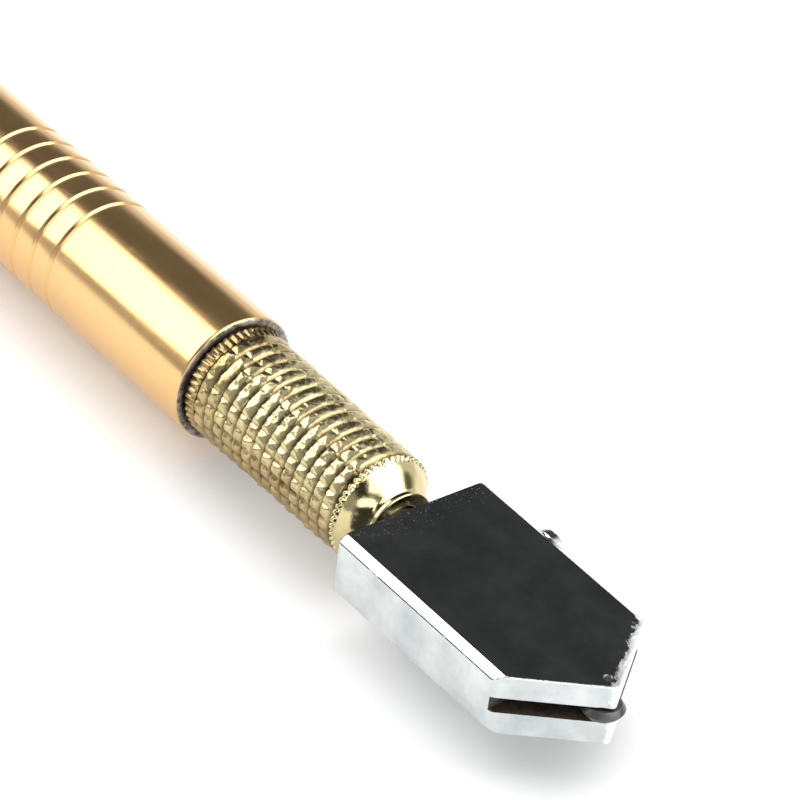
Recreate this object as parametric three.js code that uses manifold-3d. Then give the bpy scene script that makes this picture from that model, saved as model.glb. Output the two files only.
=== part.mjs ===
// Oil-fed glass cutter, millimetres, +Z up.
//
// The tool lies along X with its cutting wheel at +X. A gold tube holds the cutting oil. A knurled
// brass nose is screwed into its front and a domed cap closes its back. A sprung stem in the nose
// carries the flat five-sided head, and the wheel runs in a slot at the head's point.
//
// Lengths along the tool are measured from the tube's front face (x = 0), and radii from the tool's
// axis. The whole tool is then shifted so that the origin is the middle of its base.
import * as THREE from "three";
import { mergeVertices } from "three/addons/utils/BufferGeometryUtils.js";
import Module from "manifold-3d";

const wasm = await Module();
wasm.setup();

// ---- driving dimensions ----

const ROUND = 36; // facets on a large round piece
const SMALL_ROUND = 24; // facets on a small round piece
const SEAT_GAP = 0.05; // between two faces that rest on each other
const PRESS_GAP = 0.1; // radial, round a piece that is screwed or pressed in
const RUN_GAP = 0.05; // radial, round a piece that turns or slides

// handle tube
const TUBE_RADIUS = 5.8;
const TUBE_BORE = 4.6;
const TUBE_LENGTH = 116;
const TUBE_CHAMFER = 0.25;
const GROOVE_GROUPS = [18.6, 50.2, 81.8]; // first groove of each group, behind the front face
const GROOVES_PER_GROUP = 6;
const GROOVE_PITCH = 2.54;
const GROOVE_WIDTH = 0.5;
const GROOVE_DEPTH = 0.2;

// nose
const SPIGOT_LENGTH = 12; // inside the tube
const KNURL_LENGTH = 19.15;
const KNURL_REAR_RADIUS = 5.2;
const KNURL_FRONT_RADIUS = 5.0;
const KNURL_ROWS = 15;
const KNURL_DEPTH = 0.6;
const CONE_FRONT = 21.7;
const CONE_FRONT_RADIUS = 2.95;
const CHAMBER_RADIUS = 3.3;
const VALVE_SEAT = 11.5; // the chamber's front shoulder
const GUIDE_BORE = 2.45;
const ORING_GROOVE_REAR = -2.4;
const ORING_GROOVE_FRONT = -0.8;
const ORING_GROOVE_RADIUS = 3.8;

// guide bush
const BUSH_REAR = 15.1;
const BUSH_LIP_RADIUS = 3.1;
const BUSH_LIP_THICKNESS = 0.55;

// stem
const STEM_RADIUS = 1.6;
const STEM_FRONT = 33.5;
const OIL_BORE = 0.55;
const OIL_BORE_REAR = 12.2;
const CROSS_HOLE_RADIUS = 0.4;
const CROSS_HOLE_X = 12.9;
const COLLAR_FRONT = 10.2;
const COLLAR_REAR = 9.0;
const COLLAR_RADIUS = 2.9;
const PILOT_REAR = 6.0;
const PILOT_RADIUS = 1.4;
const STEM_GROOVE_RADIUS = 1.1;
const STEM_GROOVE_HALF_WIDTH = 0.9;

// spring and its retainer
const SPRING_RADIUS = 2.1;
const SPRING_WIRE = 0.25;
const SPRING_TURNS = 8;
const RETAINER_REAR = -11.6;
const RETAINER_FRONT = -8.6;
const RETAINER_HOLE = 1.0;
const RETAINER_SLOT = 0.8;

// wick
const WICK_RADIUS = 0.85;
const WICK_REAR = -14;
const WICK_FRONT = 4.6;

// head
const HEAD_REAR = 23.5;
const HEAD_SHOULDER = 43.05; // where the two slanted front faces start
const HEAD_TIP = 48.95;
const HEAD_WIDTH = 15;
const HEAD_THICKNESS = 5.6;
const CHAMFER_ACROSS = 0.75;
const CHAMFER_DOWN = 0.42;
const CORNER_RADIUS = 0.35;
const SLOT_WIDTH = 1.3;
const SLOT_REAR = 42.85;
const SOCKET_FRONT = 33.9;
const OIL_CHANNEL = 0.6;

// lock screw
const SCREW_X = 31;
const SCREW_HEAD_RADIUS = 2.3;
const SCREW_HEAD_HEIGHT = 1.25;
const SCREW_SHANK = 1.2;
const SCREW_POINT = 0.8;
const SCREW_SLOT_WIDTH = 0.5;
const SCREW_SLOT_DEPTH = 0.55;

// wheel and axle
const WHEEL_X = 47.55;
const WHEEL_RADIUS = 1.8;
const WHEEL_THICKNESS = 1.0;
const WHEEL_EDGE = 0.35; // radial depth of the two bevels
const AXLE_RADIUS = 0.4;
const AXLE_SUNK = 0.08; // below the head's faces
const AXLE_HOLE_GAP = 0.03;

// cap
const CAP_SEAL_THICKNESS = 1.4;
const CAP_SEAL_RADIUS = 6.05;
const CAP_NECK_RADIUS = 6.0;
const CAP_RIM_RADIUS = 7.15;
const CAP_RIM_BEHIND_SEAL = 4.0;
const CAP_DOME_DEPTH = 5.8;
const CAP_STUD_RADIUS = 4.5;
const CAP_STUD_LENGTH = 7.4;
const CAP_STUD_HOLLOW = 2.6;

// ---- derived places ----

const capSealRear = -TUBE_LENGTH - SEAT_GAP - CAP_SEAL_THICKNESS;
const capNeckX = capSealRear - SEAT_GAP;
const capRimX = capNeckX - CAP_RIM_BEHIND_SEAL;
const capEndX = capRimX - CAP_DOME_DEPTH;
const screwHeadY = HEAD_WIDTH / 2 + SEAT_GAP;
const screwEndY = screwHeadY + SCREW_HEAD_HEIGHT;
const socketRadius = STEM_RADIUS + PRESS_GAP;
const wheelFrontX = WHEEL_X + WHEEL_RADIUS;

// ---- shape helpers ----

// A position-only mesh with shared vertices, no empty triangles and its faces pointing out.
function closedMesh(source) {
  const bare = new THREE.BufferGeometry();
  bare.setAttribute("position", source.getAttribute("position").clone());
  if (source.index) bare.setIndex(source.index.clone());
  const merged = mergeVertices(bare, 1e-4);
  const point = merged.getAttribute("position");
  const old = merged.index.array;
  const triangles = [];
  let sixVolumes = 0;
  const corners = [new THREE.Vector3(), new THREE.Vector3(), new THREE.Vector3()];
  for (let i = 0; i < old.length; i += 3) {
    const [a, b, c] = [old[i], old[i + 1], old[i + 2]];
    if (a === b || b === c || c === a) continue;
    triangles.push(a, b, c);
    corners[0].fromBufferAttribute(point, a);
    corners[1].fromBufferAttribute(point, b);
    corners[2].fromBufferAttribute(point, c);
    sixVolumes += corners[0].dot(corners[1].cross(corners[2]));
  }
  if (sixVolumes < 0) triangles.reverse();
  merged.setIndex(triangles);
  return merged;
}

// A solid turned about the X axis from [x, radius] points. The outline starts and ends on the
// axis, or is closed here by repeating its first point.
function turned(outline, facets = ROUND) {
  const first = outline[0];
  const last = outline[outline.length - 1];
  const onAxis = first[1] === 0 && last[1] === 0;
  const points = onAxis ? outline : [...outline, first];
  const lathe = new THREE.LatheGeometry(points.map(([x, r]) => new THREE.Vector2(r, x)), facets);
  return closedMesh(lathe.rotateZ(-Math.PI / 2));
}

// A plain ring between two places on the X axis.
function ring(rear, front, bore, radius, facets = ROUND) {
  return turned([[rear, radius], [front, radius], [front, bore], [rear, bore]], facets);
}

// A ring of round section about the X axis.
function oRing(x, middleRadius, sectionRadius) {
  const torus = new THREE.TorusGeometry(middleRadius, sectionRadius, 8, SMALL_ROUND);
  return closedMesh(torus.rotateY(Math.PI / 2).translate(x, 0, 0));
}

function toManifold(geometry) {
  return new wasm.Manifold(new wasm.Mesh({
    numProp: 3,
    vertProperties: new Float32Array(geometry.getAttribute("position").array),
    triVerts: new Uint32Array(geometry.index.array),
  }));
}

function fromManifold(solid) {
  const mesh = solid.getMesh();
  const geometry = new THREE.BufferGeometry();
  geometry.setAttribute("position", new THREE.BufferAttribute(new Float32Array(mesh.vertProperties), 3));
  geometry.setIndex([...mesh.triVerts]);
  return geometry;
}

// The first geometry with every other one cut out of it.
function cut(base, ...tools) {
  let solid = toManifold(base);
  for (const tool of tools) solid = solid.subtract(toManifold(closedMesh(tool)));
  return fromManifold(solid);
}

function box(sizeX, sizeY, sizeZ, x = 0, y = 0, z = 0) {
  return new THREE.BoxGeometry(sizeX, sizeY, sizeZ).translate(x, y, z);
}

// ---- handle ----

// The gold tube: its outside carries three groups of fine V grooves.
function handleTube() {
  const outline = [
    [0, TUBE_BORE],
    [0, TUBE_RADIUS - TUBE_CHAMFER],
    [-TUBE_CHAMFER, TUBE_RADIUS],
  ];
  for (const groupStart of GROOVE_GROUPS) {
    for (let i = 0; i < GROOVES_PER_GROUP; i++) {
      const x = -(groupStart + i * GROOVE_PITCH);
      outline.push([x + GROOVE_WIDTH / 2, TUBE_RADIUS]);
      outline.push([x, TUBE_RADIUS - GROOVE_DEPTH]);
      outline.push([x - GROOVE_WIDTH / 2, TUBE_RADIUS]);
    }
  }
  outline.push([-TUBE_LENGTH + TUBE_CHAMFER, TUBE_RADIUS]);
  outline.push([-TUBE_LENGTH, TUBE_RADIUS - TUBE_CHAMFER]);
  outline.push([-TUBE_LENGTH, TUBE_BORE]);
  return turned(outline);
}

function capSeal() {
  return ring(capSealRear, -TUBE_LENGTH - SEAT_GAP, CAP_STUD_RADIUS + PRESS_GAP, CAP_SEAL_RADIUS);
}

// The domed cap: a neck that flares in an S curve to a rim, a dome, and a hollow stud in front.
function endCap() {
  const studFront = capNeckX + CAP_STUD_LENGTH;
  const studChamfer = 0.5;
  const flareSteps = 6;
  const domeSteps = 8;
  const outline = [[capNeckX, 0], [capNeckX, CAP_STUD_HOLLOW]];
  outline.push([studFront, CAP_STUD_HOLLOW]);
  outline.push([studFront, CAP_STUD_RADIUS - studChamfer]);
  outline.push([studFront - studChamfer, CAP_STUD_RADIUS]);
  outline.push([capNeckX, CAP_STUD_RADIUS]);
  for (let i = 0; i <= flareSteps; i++) {
    const t = i / flareSteps;
    const rise = (1 - Math.cos(t * Math.PI)) / 2;
    const radius = CAP_NECK_RADIUS + (CAP_RIM_RADIUS - CAP_NECK_RADIUS) * rise;
    outline.push([capNeckX - CAP_RIM_BEHIND_SEAL * t, radius]);
  }
  for (let i = 1; i <= domeSteps; i++) {
    const angle = ((Math.PI / 2) * i) / domeSteps;
    const radius = i === domeSteps ? 0 : CAP_RIM_RADIUS * Math.cos(angle);
    outline.push([capRimX - CAP_DOME_DEPTH * Math.sin(angle), radius]);
  }
  return turned(outline);
}

// ---- nose ----

// The brass nose: a spigot inside the tube, the knurled grip with a notch between its rows, a
// polished cone, and a stepped bore whose shoulder is the valve's seat.
function noseBody() {
  const gripStart = SEAT_GAP;
  const rowLength = (KNURL_LENGTH - gripStart) / KNURL_ROWS;
  const spigotRadius = TUBE_BORE - PRESS_GAP;
  const leadIn = 0.5;
  const outline = [
    [-SPIGOT_LENGTH, CHAMBER_RADIUS],
    [-SPIGOT_LENGTH, spigotRadius - leadIn],
    [-SPIGOT_LENGTH + leadIn, spigotRadius],
    [ORING_GROOVE_REAR, spigotRadius],
    [ORING_GROOVE_REAR, ORING_GROOVE_RADIUS],
    [ORING_GROOVE_FRONT, ORING_GROOVE_RADIUS],
    [ORING_GROOVE_FRONT, spigotRadius],
    [gripStart, spigotRadius],
  ];
  for (let row = 0; row < KNURL_ROWS; row++) {
    const t = row / (KNURL_ROWS - 1);
    const crest = KNURL_REAR_RADIUS + (KNURL_FRONT_RADIUS - KNURL_REAR_RADIUS) * t;
    const start = gripStart + row * rowLength;
    outline.push([start, crest - KNURL_DEPTH]);
    outline.push([start + rowLength / 2, crest]);
  }
  outline.push([KNURL_LENGTH, KNURL_FRONT_RADIUS - KNURL_DEPTH]);
  outline.push([CONE_FRONT, CONE_FRONT_RADIUS]);
  outline.push([CONE_FRONT, GUIDE_BORE]);
  outline.push([VALVE_SEAT, GUIDE_BORE]);
  outline.push([VALVE_SEAT, CHAMBER_RADIUS]);
  return turned(outline);
}

function noseSeal() {
  const inner = ORING_GROOVE_RADIUS + RUN_GAP;
  const outer = TUBE_BORE - RUN_GAP;
  return oRing((ORING_GROOVE_REAR + ORING_GROOVE_FRONT) / 2, (inner + outer) / 2, (outer - inner) / 2);
}

// The flanged bush that guides the stem; its lip shows in front of the cone.
function guideBush() {
  const lipRear = CONE_FRONT + SEAT_GAP;
  const lipFront = lipRear + BUSH_LIP_THICKNESS;
  const bore = STEM_RADIUS + RUN_GAP;
  const sleeve = GUIDE_BORE - RUN_GAP;
  return turned([
    [BUSH_REAR, bore],
    [BUSH_REAR, sleeve],
    [lipRear, sleeve],
    [lipRear, BUSH_LIP_RADIUS],
    [lipFront, BUSH_LIP_RADIUS],
    [lipFront, bore],
  ]);
}

function stemSeal() {
  const inner = STEM_RADIUS + RUN_GAP;
  const outer = GUIDE_BORE - RUN_GAP;
  const section = (outer - inner) / 2;
  return oRing(BUSH_REAR - RUN_GAP - section, (inner + outer) / 2, section);
}

// The plug behind the spring, with an oil hole and a screwdriver slot.
function springRetainer() {
  const disc = ring(RETAINER_REAR, RETAINER_FRONT, RETAINER_HOLE, CHAMBER_RADIUS - PRESS_GAP);
  const slotDepth = 2 * RETAINER_SLOT;
  return cut(disc, box(slotDepth, 4 * CHAMBER_RADIUS, RETAINER_SLOT, RETAINER_REAR));
}

function returnSpring() {
  const wireEnd = SPRING_WIRE + SEAT_GAP;
  const rear = RETAINER_FRONT + wireEnd;
  const front = COLLAR_REAR - wireEnd;
  class Helix extends THREE.Curve {
    getPoint(t) {
      const angle = 2 * Math.PI * SPRING_TURNS * t;
      return new THREE.Vector3(
        rear + (front - rear) * t,
        SPRING_RADIUS * Math.cos(angle),
        SPRING_RADIUS * Math.sin(angle),
      );
    }
  }
  const wire = new THREE.Shape().absarc(0, 0, SPRING_WIRE, 0, 2 * Math.PI);
  return closedMesh(new THREE.ExtrudeGeometry(wire, {
    steps: 12 * SPRING_TURNS,
    curveSegments: 4,
    bevelEnabled: false,
    extrudePath: new Helix(),
  }));
}

function oilWick() {
  return turned([[WICK_REAR, 0], [WICK_REAR, WICK_RADIUS], [WICK_FRONT, WICK_RADIUS], [WICK_FRONT, 0]], 12);
}

// ---- stem ----

// The hollow stem: spring pilot, valve collar, shank, and a groove that the lock screw enters.
function headStem() {
  const endChamfer = 0.25;
  const shank = turned([
    [PILOT_REAR, 0],
    [PILOT_REAR, PILOT_RADIUS],
    [COLLAR_REAR, PILOT_RADIUS],
    [COLLAR_REAR, COLLAR_RADIUS],
    [COLLAR_FRONT, COLLAR_RADIUS],
    [COLLAR_FRONT, STEM_RADIUS],
    [SCREW_X - STEM_GROOVE_HALF_WIDTH, STEM_RADIUS],
    [SCREW_X - STEM_GROOVE_HALF_WIDTH, STEM_GROOVE_RADIUS],
    [SCREW_X + STEM_GROOVE_HALF_WIDTH, STEM_GROOVE_RADIUS],
    [SCREW_X + STEM_GROOVE_HALF_WIDTH, STEM_RADIUS],
    [STEM_FRONT - endChamfer, STEM_RADIUS],
    [STEM_FRONT, STEM_RADIUS - endChamfer],
    [STEM_FRONT, OIL_BORE],
    [OIL_BORE_REAR, OIL_BORE],
    [OIL_BORE_REAR, 0],
  ]);
  const drill = new THREE.CylinderGeometry(CROSS_HOLE_RADIUS, CROSS_HOLE_RADIUS, 4 * STEM_RADIUS, 12);
  return cut(shank, drill.translate(CROSS_HOLE_X, 0, 0));
}

function valveSeal() {
  const front = VALVE_SEAT - SEAT_GAP;
  return ring(COLLAR_FRONT + SEAT_GAP, front, STEM_RADIUS + RUN_GAP, COLLAR_RADIUS, SMALL_ROUND);
}

// ---- head ----

// The head's five-sided outline, with its corners rounded.
function headOutline() {
  const half = HEAD_WIDTH / 2;
  const corners = [
    [HEAD_REAR, -half],
    [HEAD_SHOULDER, -half],
    [HEAD_TIP, 0],
    [HEAD_SHOULDER, half],
    [HEAD_REAR, half],
  ].map(([x, y]) => new THREE.Vector2(x, y));
  const outline = new THREE.Shape();
  corners.forEach((corner, i) => {
    const before = corners[(i + corners.length - 1) % corners.length];
    const after = corners[(i + 1) % corners.length];
    const start = corner.clone().add(before.clone().sub(corner).setLength(CORNER_RADIUS));
    const end = corner.clone().add(after.clone().sub(corner).setLength(CORNER_RADIUS));
    if (i === 0) outline.moveTo(start.x, start.y);
    else outline.lineTo(start.x, start.y);
    outline.quadraticCurveTo(corner.x, corner.y, end.x, end.y);
  });
  outline.closePath();
  return outline;
}

// The head block: the outline cut to a section with four long chamfers, then slotted and drilled.
function headBody() {
  const half = HEAD_THICKNESS / 2;
  const edge = HEAD_WIDTH / 2;
  const slab = new THREE.ExtrudeGeometry(headOutline(), {
    depth: HEAD_THICKNESS,
    bevelEnabled: false,
    curveSegments: 3,
  }).translate(0, 0, -half);
  const section = new THREE.Shape([
    new THREE.Vector2(-edge, -(half - CHAMFER_DOWN)),
    new THREE.Vector2(-(edge - CHAMFER_ACROSS), -half),
    new THREE.Vector2(edge - CHAMFER_ACROSS, -half),
    new THREE.Vector2(edge, -(half - CHAMFER_DOWN)),
    new THREE.Vector2(edge, half - CHAMFER_DOWN),
    new THREE.Vector2(edge - CHAMFER_ACROSS, half),
    new THREE.Vector2(-(edge - CHAMFER_ACROSS), half),
    new THREE.Vector2(-edge, half - CHAMFER_DOWN),
  ]);
  const bar = new THREE.ExtrudeGeometry(section, { depth: HEAD_TIP, bevelEnabled: false });
  bar.rotateX(Math.PI / 2).rotateZ(Math.PI / 2); // the section's axes become Y and Z, its depth X
  const block = toManifold(closedMesh(slab)).intersect(toManifold(closedMesh(bar)));

  const reach = HEAD_WIDTH; // long enough to pass right through
  const slot = box(reach, 2 * reach, SLOT_WIDTH, SLOT_REAR + reach / 2);
  const socket = turned([
    [HEAD_REAR - 1, 0],
    [HEAD_REAR - 1, socketRadius],
    [SOCKET_FRONT, socketRadius],
    [SOCKET_FRONT + 1, OIL_CHANNEL],
    [SLOT_REAR + 1, OIL_CHANNEL],
    [SLOT_REAR + 1, 0],
  ]);
  const screwHole = new THREE.CylinderGeometry(SCREW_SHANK + RUN_GAP, SCREW_SHANK + RUN_GAP, reach, SMALL_ROUND);
  const axleHoleRadius = AXLE_RADIUS + AXLE_HOLE_GAP;
  const axleHole = new THREE.CylinderGeometry(axleHoleRadius, axleHoleRadius, reach, SMALL_ROUND);
  return cut(
    fromManifold(block),
    slot,
    socket,
    screwHole.translate(SCREW_X, reach / 2, 0),
    axleHole.rotateX(Math.PI / 2).translate(WHEEL_X, 0, 0),
  );
}

// The lock screw lies along Y: a slotted round head outside, a plain point in the stem's groove.
function lockScrew() {
  const pointY = STEM_GROOVE_RADIUS + RUN_GAP;
  const pointLength = 0.7;
  const edgeHeight = 0.7;
  const domeSteps = 5;
  const outline = [
    [pointY, 0],
    [pointY, SCREW_POINT],
    [pointY + pointLength, SCREW_POINT],
    [pointY + pointLength, SCREW_SHANK],
    [screwHeadY, SCREW_SHANK],
    [screwHeadY, SCREW_HEAD_RADIUS],
  ];
  for (let i = 0; i <= domeSteps; i++) {
    const angle = ((Math.PI / 2) * i) / domeSteps;
    const radius = i === domeSteps ? 0 : SCREW_HEAD_RADIUS * Math.cos(angle);
    outline.push([screwHeadY + edgeHeight + (SCREW_HEAD_HEIGHT - edgeHeight) * Math.sin(angle), radius]);
  }
  const blank = turned(outline, SMALL_ROUND);
  const slotted = cut(blank, box(2 * SCREW_SLOT_DEPTH, SCREW_SLOT_WIDTH, 4 * SCREW_HEAD_RADIUS, screwEndY));
  return slotted.rotateZ(Math.PI / 2).translate(SCREW_X, 0, 0);
}

function wheelAxle() {
  const length = HEAD_THICKNESS - 2 * AXLE_SUNK;
  const pin = new THREE.CylinderGeometry(AXLE_RADIUS, AXLE_RADIUS, length, SMALL_ROUND);
  return closedMesh(pin.rotateX(Math.PI / 2).translate(WHEEL_X, 0, 0));
}

// The carbide wheel: a bored disc whose rim is bevelled on both sides to the cutting edge.
function cuttingWheel() {
  const bore = AXLE_RADIUS + RUN_GAP;
  const half = WHEEL_THICKNESS / 2;
  const shoulder = WHEEL_RADIUS - WHEEL_EDGE;
  const disc = turned([[-half, bore], [-half, shoulder], [0, WHEEL_RADIUS], [half, shoulder], [half, bore]]);
  return disc.rotateY(-Math.PI / 2).translate(WHEEL_X, 0, 0);
}

// ---- the tool ----

const finishes = {
  goldAluminium: { color: 0xd9a25f, roughness: 0.28, metalness: 1 },
  brass: { color: 0xc9a94e, roughness: 0.25, metalness: 1 },
  chrome: { color: 0xd9dcde, roughness: 0.12, metalness: 1 },
  steel: { color: 0x9b9c9e, roughness: 0.35, metalness: 1 },
  carbide: { color: 0x4c4e50, roughness: 0.4, metalness: 0.8 },
  rubber: { color: 0x1a1512, roughness: 0.7, metalness: 0 },
  cotton: { color: 0xd8cfb8, roughness: 0.95, metalness: 0 },
};

const tool = new THREE.Group();

function add(name, geometry, finish) {
  geometry.computeVertexNormals();
  const mesh = new THREE.Mesh(geometry, new THREE.MeshStandardMaterial(finish));
  mesh.name = name;
  tool.add(mesh);
}

add("handle_tube", handleTube(), finishes.goldAluminium);
add("cap_seal", capSeal(), finishes.rubber);
add("end_cap", endCap(), finishes.chrome);
add("nose_body", noseBody(), finishes.brass);
add("nose_seal", noseSeal(), finishes.rubber);
add("guide_bush", guideBush(), finishes.brass);
add("stem_seal", stemSeal(), finishes.rubber);
add("spring_retainer", springRetainer(), finishes.brass);
add("return_spring", returnSpring(), finishes.steel);
add("oil_wick", oilWick(), finishes.cotton);
add("head_stem", headStem(), finishes.steel);
add("valve_seal", valveSeal(), finishes.rubber);
add("head_body", headBody(), finishes.chrome);
add("lock_screw", lockScrew(), finishes.chrome);
add("wheel_axle", wheelAxle(), finishes.steel);
add("cutting_wheel", cuttingWheel(), finishes.carbide);

// The origin is the middle of the base: the cap's rim is lowest, and the screw widens the +Y side.
tool.position.set(
  -(wheelFrontX + capEndX) / 2,
  -(screwEndY - HEAD_WIDTH / 2) / 2,
  CAP_RIM_RADIUS,
);

export default tool;
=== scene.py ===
"""The looks of an oil-fed glass cutter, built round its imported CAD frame.

Every length below is in tool millimetres: x runs from the tube's front face towards the wheel, y
towards the lock screw, z up from the tool's axis. at() turns such a place into scene metres.
"""

import math
import random

import bpy
from mathutils import Matrix, Vector, noise


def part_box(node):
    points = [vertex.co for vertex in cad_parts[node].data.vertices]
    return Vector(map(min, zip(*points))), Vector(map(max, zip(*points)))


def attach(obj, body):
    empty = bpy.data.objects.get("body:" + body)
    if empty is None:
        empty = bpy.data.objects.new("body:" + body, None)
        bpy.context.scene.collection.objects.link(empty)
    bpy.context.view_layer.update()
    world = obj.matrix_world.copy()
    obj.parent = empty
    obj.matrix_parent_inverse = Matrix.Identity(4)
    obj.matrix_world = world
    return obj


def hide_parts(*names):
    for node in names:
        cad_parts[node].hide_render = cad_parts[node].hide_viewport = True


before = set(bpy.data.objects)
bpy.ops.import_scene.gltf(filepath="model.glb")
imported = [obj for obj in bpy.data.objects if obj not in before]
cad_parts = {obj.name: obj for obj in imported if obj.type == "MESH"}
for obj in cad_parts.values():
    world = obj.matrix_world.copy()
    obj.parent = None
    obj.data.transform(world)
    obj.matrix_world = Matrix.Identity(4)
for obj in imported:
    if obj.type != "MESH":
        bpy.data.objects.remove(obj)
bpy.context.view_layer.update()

MM = 0.001

# ---------------------------------------------------------------- places taken from the frame

tube_low, tube_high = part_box("handle_tube")
TOOL_ORIGIN = Vector((tube_high.x, (tube_low.y + tube_high.y) / 2, (tube_low.z + tube_high.z) / 2))


def at(x, y, z):
    """A place in tool millimetres, as scene metres."""
    return TOOL_ORIGIN + Vector((x, y, z)) * MM


def tool_box(node):
    """A CAD node's lowest and highest corners in tool millimetres."""
    low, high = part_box(node)
    return (low - TOOL_ORIGIN) / MM, (high - TOOL_ORIGIN) / MM


def node_radius(node):
    """The radius of a CAD node that is round about the tool's axis."""
    low, high = tool_box(node)
    return (high.z - low.z) / 2


TUBE_RADIUS = node_radius("handle_tube")
TUBE_REAR = tool_box("handle_tube")[0].x
SEAL_REAR = tool_box("cap_seal")[0].x
SEAL_FRONT = tool_box("cap_seal")[1].x
SEAL_RADIUS = node_radius("cap_seal")
CAP_REAR = tool_box("end_cap")[0].x
CAP_STUD_FRONT = tool_box("end_cap")[1].x
CAP_RADIUS = node_radius("end_cap")
NOSE_REAR = tool_box("nose_body")[0].x
NOSE_FRONT = tool_box("nose_body")[1].x
BUSH_REAR = tool_box("guide_bush")[0].x
BUSH_FRONT = tool_box("guide_bush")[1].x
LIP_RADIUS = node_radius("guide_bush")
STEM_REAR = tool_box("head_stem")[0].x
STEM_FRONT = tool_box("head_stem")[1].x
COLLAR_RADIUS = node_radius("head_stem")
HEAD_LOW, HEAD_HIGH = tool_box("head_body")
HEAD_HALF_WIDTH = HEAD_HIGH.y
HEAD_HALF_THICKNESS = HEAD_HIGH.z
SCREW_LOW, SCREW_HIGH = tool_box("lock_screw")
SCREW_X = (SCREW_LOW.x + SCREW_HIGH.x) / 2
WHEEL_LOW, WHEEL_HIGH = tool_box("cutting_wheel")
WHEEL_X = (WHEEL_LOW.x + WHEEL_HIGH.x) / 2
AXLE_END = tool_box("wheel_axle")[1].z

# ---------------------------------------------------------------- sizes that the frame's boxes don't give

TUBE_BORE = 4.6
THREAD_PITCH = 1.0  # one turn of cap_turn for each millimetre of cap_slide
THREAD_DEPTH = 0.28
GROOVE_STARTS = (18.6, 50.2, 81.8)
GROOVES_PER_GROUP = 6
GROOVE_PITCH = 2.54
GROOVE_DEPTH = 0.2
GROOVE_HALF_TOP = 0.27
GROOVE_HALF_FLOOR = 0.05
TUBE_THREAD_LENGTH = 8.5

GRIP_END = 19.15
GRIP_ROWS = 15
GRIP_TEETH = 24
GRIP_CREST = (5.15, 4.98)  # at the tube and at the cone
GRIP_DEPTH = 0.42
BEAD_RADIUS = 4.72  # of the beaded edge in front of the grip
BEAD_END = 19.75
CONE_BULGE = 0.16
SPIGOT_RADIUS = 4.5
ORING_GROOVE = (-2.4, -0.8)
ORING_GROOVE_RADIUS = 3.8
CHAMBER_RADIUS = 3.3
VALVE_SEAT = 11.5
GUIDE_BORE = 2.45

STEM_RADIUS = 1.6
STEM_BORE = 0.55
STEM_BORE_REAR = 12.2
CROSS_HOLE_X = 12.9
CROSS_HOLE_RADIUS = 0.4
COLLAR = (9.0, 10.2)
PILOT_RADIUS = 1.4
SCREW_GROOVE = 1.1
SCREW_GROOVE_HALF = 0.9

HEAD_SHOULDER = 43.05
HEAD_TIP = 48.95
HEAD_CORNER_REACH = 0.4
CHAMFER_ACROSS = 0.75
CHAMFER_DOWN = 0.42
SLOT_HALF = 0.65
SLOT_REAR = 42.85
SOCKET_FRONT = 33.9

SCREW_HEAD_RADIUS = SCREW_HIGH.x - SCREW_X
SCREW_SHANK = 1.2
SCREW_POINT = 0.8
SCREW_PITCH = 0.45

AXLE_RADIUS = 0.4
AXLE_HOLE_RADIUS = 0.41
WHEEL_BEVEL = 0.35

STUD_RADIUS = 4.5
CAP_NECK_RADIUS = 6.0
CAP_NECK_LENGTH = 4.0  # from the washer to the cap's widest place

# ---------------------------------------------------------------- mesh helpers


def new_piece(name, points, faces, body, materials, replaces=None, sharp=30, face_material=None):
    """A mesh piece from tool-millimetre points, smooth but for edges sharper than the given angle."""
    mesh = bpy.data.meshes.new(name)
    mesh.from_pydata([at(*p) for p in points], [], faces)
    mesh.validate()
    mesh.shade_smooth()
    mesh.set_sharp_from_angle(angle=math.radians(sharp))
    piece = bpy.data.objects.new(name, mesh)
    bpy.context.scene.collection.objects.link(piece)
    for material in materials:
        mesh.materials.append(material)
    if face_material:
        for face in mesh.polygons:
            face.material_index = face_material(face)
    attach(piece, body)
    if replaces:
        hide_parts(replaces)
    return piece


def rounded(outline, radius, steps=4):
    """A closed or open outline with every corner turned into an arc-like curve.

    Each corner's own radius may be given as a third number, and 0 keeps it sharp."""
    result = []
    closed = outline[0][:2] == outline[-1][:2]
    points = outline[:-1] if closed else outline
    for i, corner in enumerate(points):
        here = Vector(corner[:2])
        size = corner[2] if len(corner) > 2 else radius
        ends = not closed and i in (0, len(points) - 1)
        if ends or size == 0:
            result.append((here.x, here.y))
            continue
        before = Vector(points[i - 1][:2]) - here
        after = Vector(points[(i + 1) % len(points)][:2]) - here
        reach = min(size, before.length * 0.45, after.length * 0.45)
        start = here + before.normalized() * reach
        end = here + after.normalized() * reach
        for step in range(steps + 1):
            t = step / steps
            point = start * (1 - t) ** 2 + here * 2 * t * (1 - t) + end * t**2
            result.append((point.x, point.y))
    if closed:
        result.append(result[0])
    return result


def revolve(outline, segments, shape=None):
    """Points and faces of an outline of (x, radius) turned about the tool's axis.

    The outline either closes on itself or starts and ends on the axis. shape(x, radius, angle)
    may change the radius at each point, and is only asked off the axis."""
    closed = outline[0] == outline[-1]
    rows = outline[:-1] if closed else outline
    points, rings, faces = [], [], []
    for x, radius in rows:
        if radius == 0:
            rings.append([len(points)] * segments)
            points.append((x, 0, 0))
            continue
        rings.append(list(range(len(points), len(points) + segments)))
        for i in range(segments):
            angle = 2 * math.pi * i / segments
            r = shape(x, radius, angle) if shape else radius
            points.append((x, r * math.cos(angle), r * math.sin(angle)))
    pairs = list(zip(rings, rings[1:]))
    if closed:
        pairs.append((rings[-1], rings[0]))
    for near, far in pairs:
        for i in range(segments):
            j = (i + 1) % segments
            face = [near[i], near[j], far[j], far[i]]
            face = [v for k, v in enumerate(face) if v != face[k - 1]]
            if len(face) > 2:
                faces.append(face)
    return points, outward(points, faces)


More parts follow.
